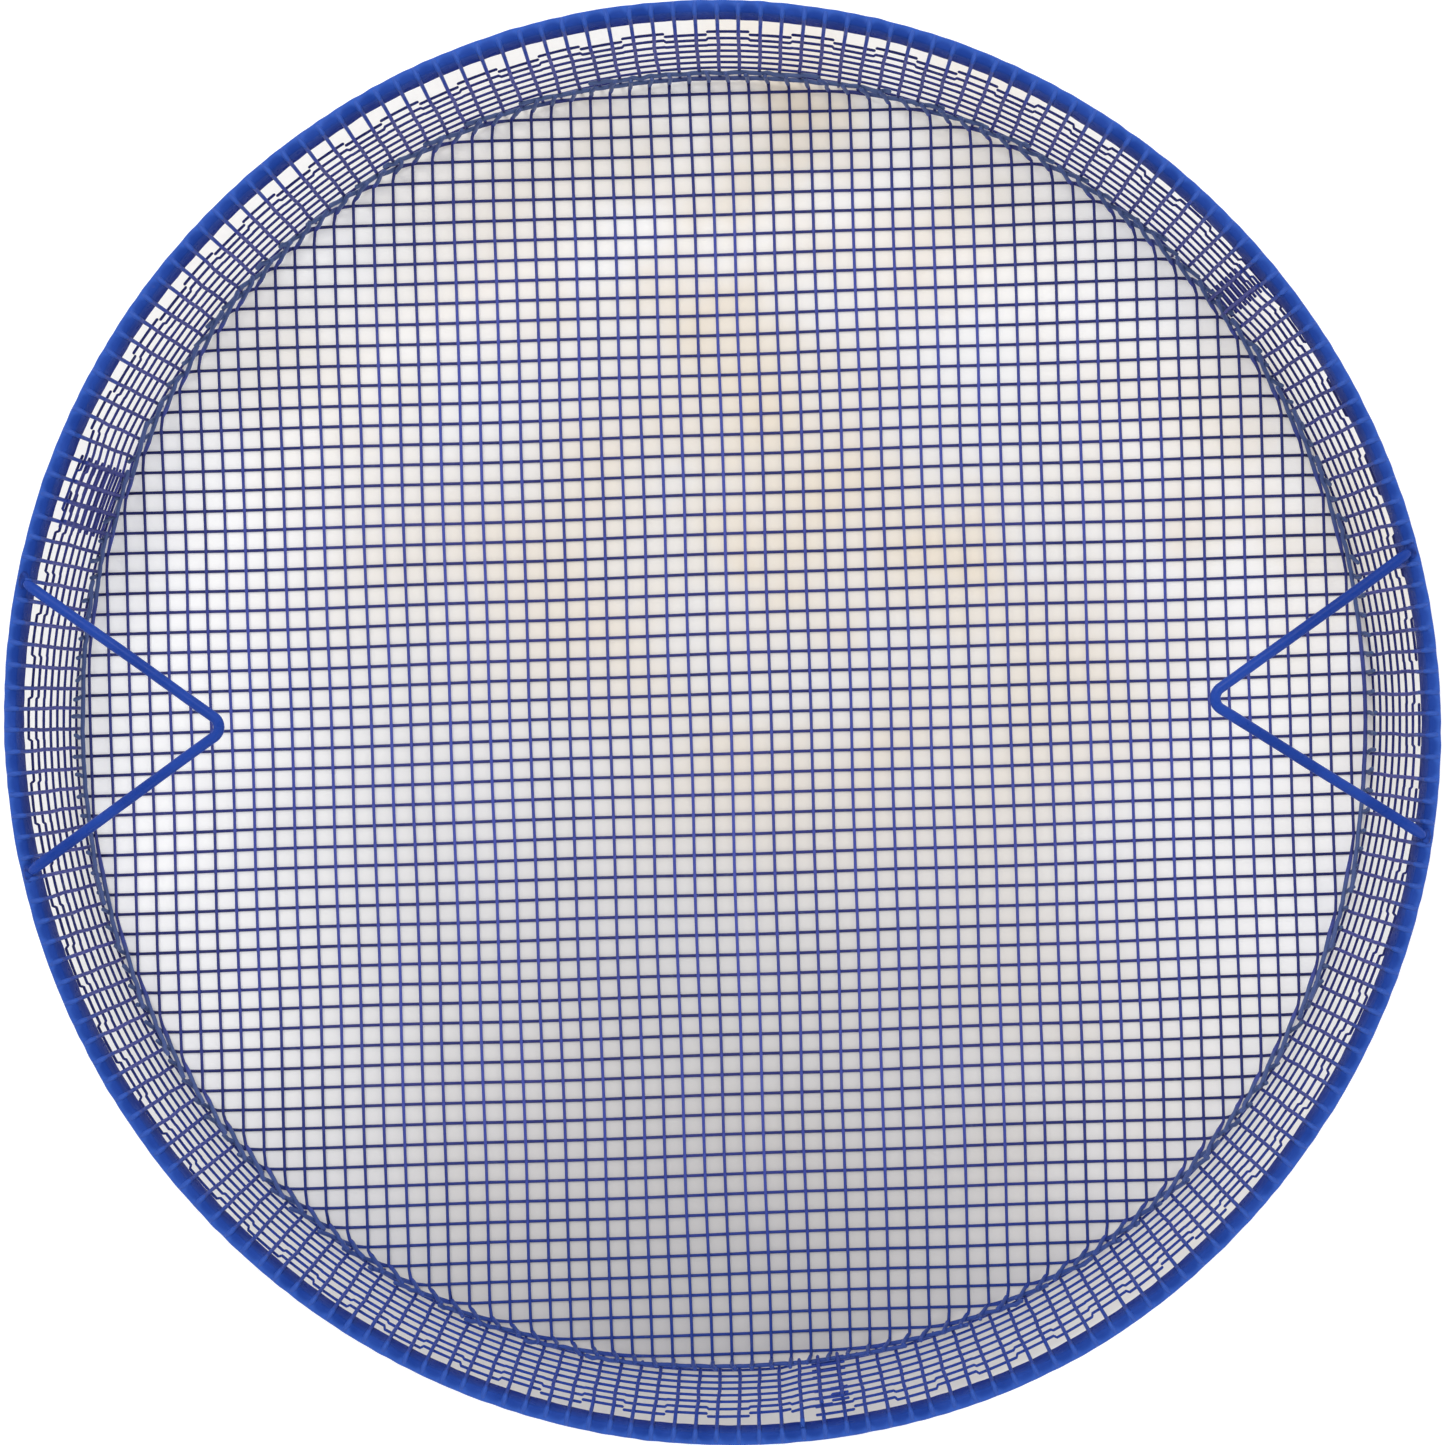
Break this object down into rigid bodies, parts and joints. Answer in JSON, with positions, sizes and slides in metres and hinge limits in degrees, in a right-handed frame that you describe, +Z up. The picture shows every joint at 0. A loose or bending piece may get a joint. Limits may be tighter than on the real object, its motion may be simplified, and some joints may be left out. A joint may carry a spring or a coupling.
{
  "type": "leaf skimmer basket",
  "caption": "Shallow round wire mesh basket with a flat bar hoop at the mouth and inward V-shaped rod handles, for lifting leaves and debris out of water.",
  "frame": {"origin": "centre of the underside, on the plane the basket rests on", "axes": "+Z points up out of the open mouth; the handles point inwards along +X and -X"},
  "size_m": [0.4208, 0.4208, 0.0638],
  "materials": {
    "coat_hoop": "gloss blue dipped coating, slightly uneven",
    "coat_wall": "gloss blue dipped coating over thin wire",
    "coat_bottom": "dark blue dipped coating over thin wire",
    "coat_handle": "smooth gloss blue dipped coating",
    "coat_weld": "lumpy blue coating over a weld deposit"
  },
  "bodies": {
    "root": {"rim_hoop": "coat_hoop", "bottom_mesh": "coat_bottom", "wall_panel_a": "coat_wall", "wall_panel_b": "coat_wall", "wall_panel_c": "coat_wall", "handle_left": "coat_handle", "handle_right": "coat_handle", "weld_left_a": "coat_weld", "weld_left_b": "coat_weld", "weld_right_a": "coat_weld", "weld_right_b": "coat_weld"}
  },
  "joints": []
}
